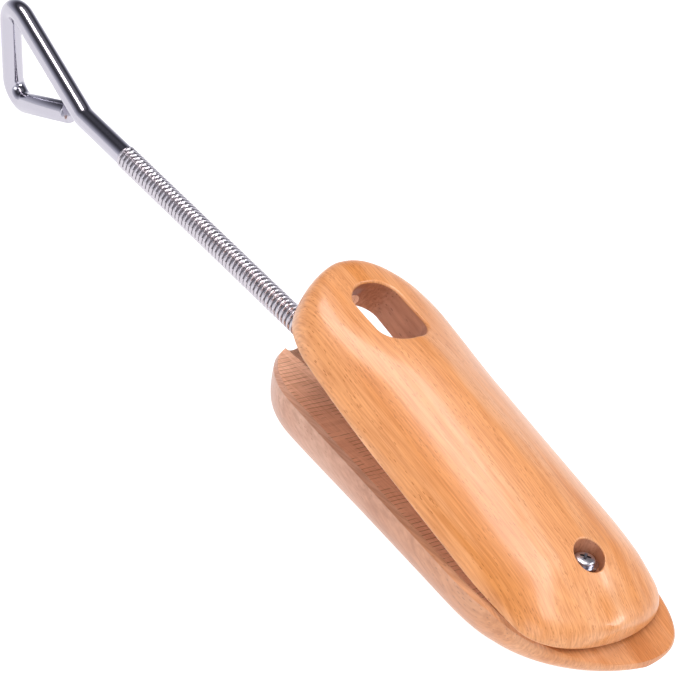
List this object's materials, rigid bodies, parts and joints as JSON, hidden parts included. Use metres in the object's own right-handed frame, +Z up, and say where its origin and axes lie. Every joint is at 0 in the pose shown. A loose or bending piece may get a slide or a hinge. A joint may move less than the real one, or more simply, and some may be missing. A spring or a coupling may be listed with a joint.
{
  "type": "shoe stretcher",
  "caption": "Beech instep shoe stretcher with a threaded steel spindle and bow handle that wedges the two blocks apart.",
  "frame": {"origin": "on the sole face of the lower block, under the middle of its length", "axes": "+X to the toe along the lower block, +Z up away from the sole, +Y to the left when looking to the toe"},
  "size_m": [0.4345, 0.0753, 0.0754],
  "materials": {
    "beech": "satin",
    "nickel_steel": "polished",
    "bare_steel": "satin",
    "zinc_steel": "satin"
  },
  "bodies": {
    "lower": {"lower_block": "beech", "slide_plate": "bare_steel", "slide_plate_screws": "zinc_steel", "bearing_bracket": "bare_steel", "bracket_screws": "zinc_steel", "toe_screw": "nickel_steel", "toe_washer": "nickel_steel"},
    "upper": {"upper_block": "beech", "ramp_plate": "bare_steel", "ramp_plate_screws": "zinc_steel"},
    "bearing": {"bearing_block": "bare_steel"},
    "spindle": {"spindle": "nickel_steel", "thrust_washers": "zinc_steel", "retaining_collar": "bare_steel", "collar_pin": "zinc_steel"},
    "nut": {"barrel_nut": "zinc_steel"}
  },
  "joints": [
    {"name": "block_tilt", "type": "hinge", "parent": "lower", "child": "upper", "pos_m": [0.06665, 0, 0.0365], "axis": [0, 1, 0], "range_deg": [-11.8, 2.7]},
    {"name": "spindle_lean", "type": "hinge", "parent": "lower", "child": "bearing", "pos_m": [0.04525, 0, 0.0285], "axis": [0, 1, 0], "range_deg": [-2.83, 0.65]},
    {"name": "nut_travel", "type": "slide", "parent": "bearing", "child": "nut", "axis": [0.9988, 0, -0.0494], "range_m": [-0.02171, 0.00497]},
    {"name": "spindle_turn", "type": "hinge", "parent": "bearing", "child": "spindle", "pos_m": [0.04525, 0, 0.0285], "axis": [0.9988, 0, -0.0494], "range_deg": [-715.39, 3126.53]}
  ],
  "couplings": [
    {"joint": "spindle_lean", "follows": "block_tilt", "ratio": 0.24},
    {"joint": "nut_travel", "follows": "block_tilt", "m_per_rad": 0.10542},
    {"joint": "spindle_turn", "follows": "block_tilt", "ratio": -264.96}
  ]
}
